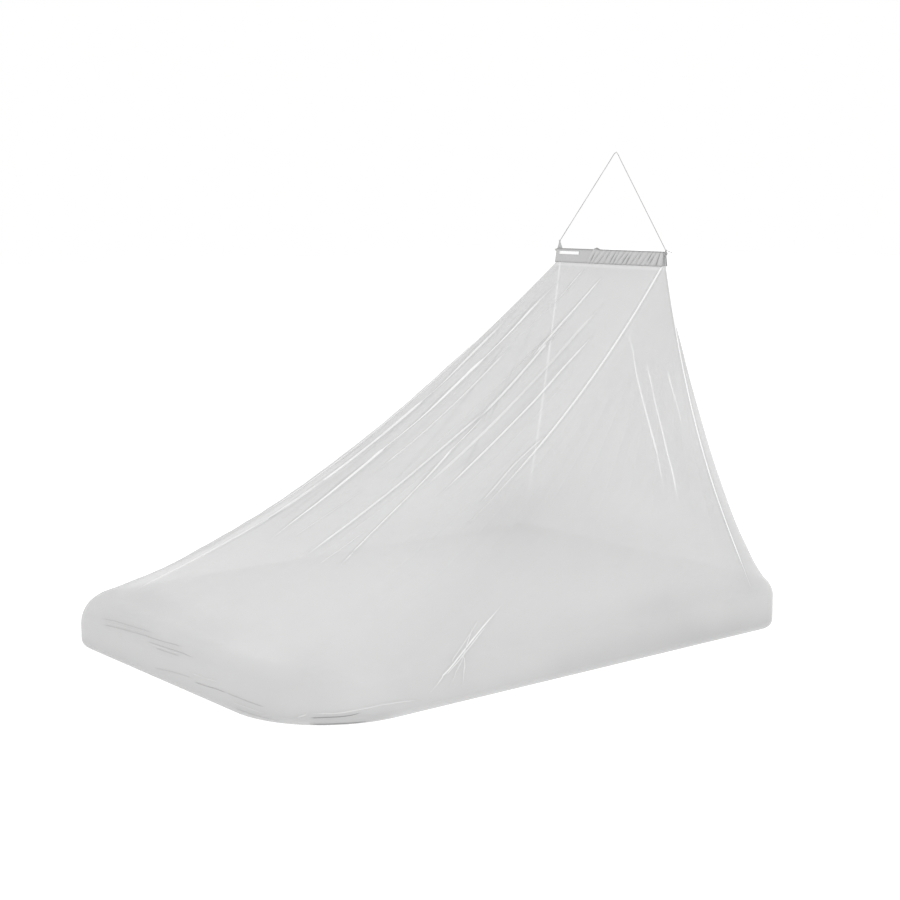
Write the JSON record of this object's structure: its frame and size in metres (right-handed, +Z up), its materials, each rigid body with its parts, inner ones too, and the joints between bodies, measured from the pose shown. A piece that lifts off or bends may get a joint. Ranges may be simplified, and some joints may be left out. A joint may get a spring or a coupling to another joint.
{
  "type": "mosquito net canopy over a mattress",
  "caption": "Wedge-shaped mosquito net that hangs from a cord and a short spreader bar, falls over a plain mattress and is tucked under its edges",
  "frame": {"origin": "the hanging point, on the inside of the cord's top bend, where a hook carries the canopy", "axes": "+X from the foot of the bed to its head, +Y from the near side to the far side, +Z up"},
  "size_m": [2.04, 1.38, 1.643],
  "materials": {
    "net": "fine sheer mesh",
    "heading_cloth": "closer woven, gathered",
    "label": "plain woven strip",
    "bar": "plain round rod",
    "cord": "thin braided cord",
    "mattress_cloth": "plain ticking"
  },
  "bodies": {
    "root": {"foot_panel": "net", "near_side_panel": "net", "head_panel": "net", "far_side_panel": "net", "heading": "heading_cloth", "heading_tab": "heading_cloth", "blank_label": "label", "spreader_bar": "bar", "hanging_cord": "cord", "far_knot": "cord", "near_knot": "cord", "mattress": "mattress_cloth"}
  },
  "joints": []
}
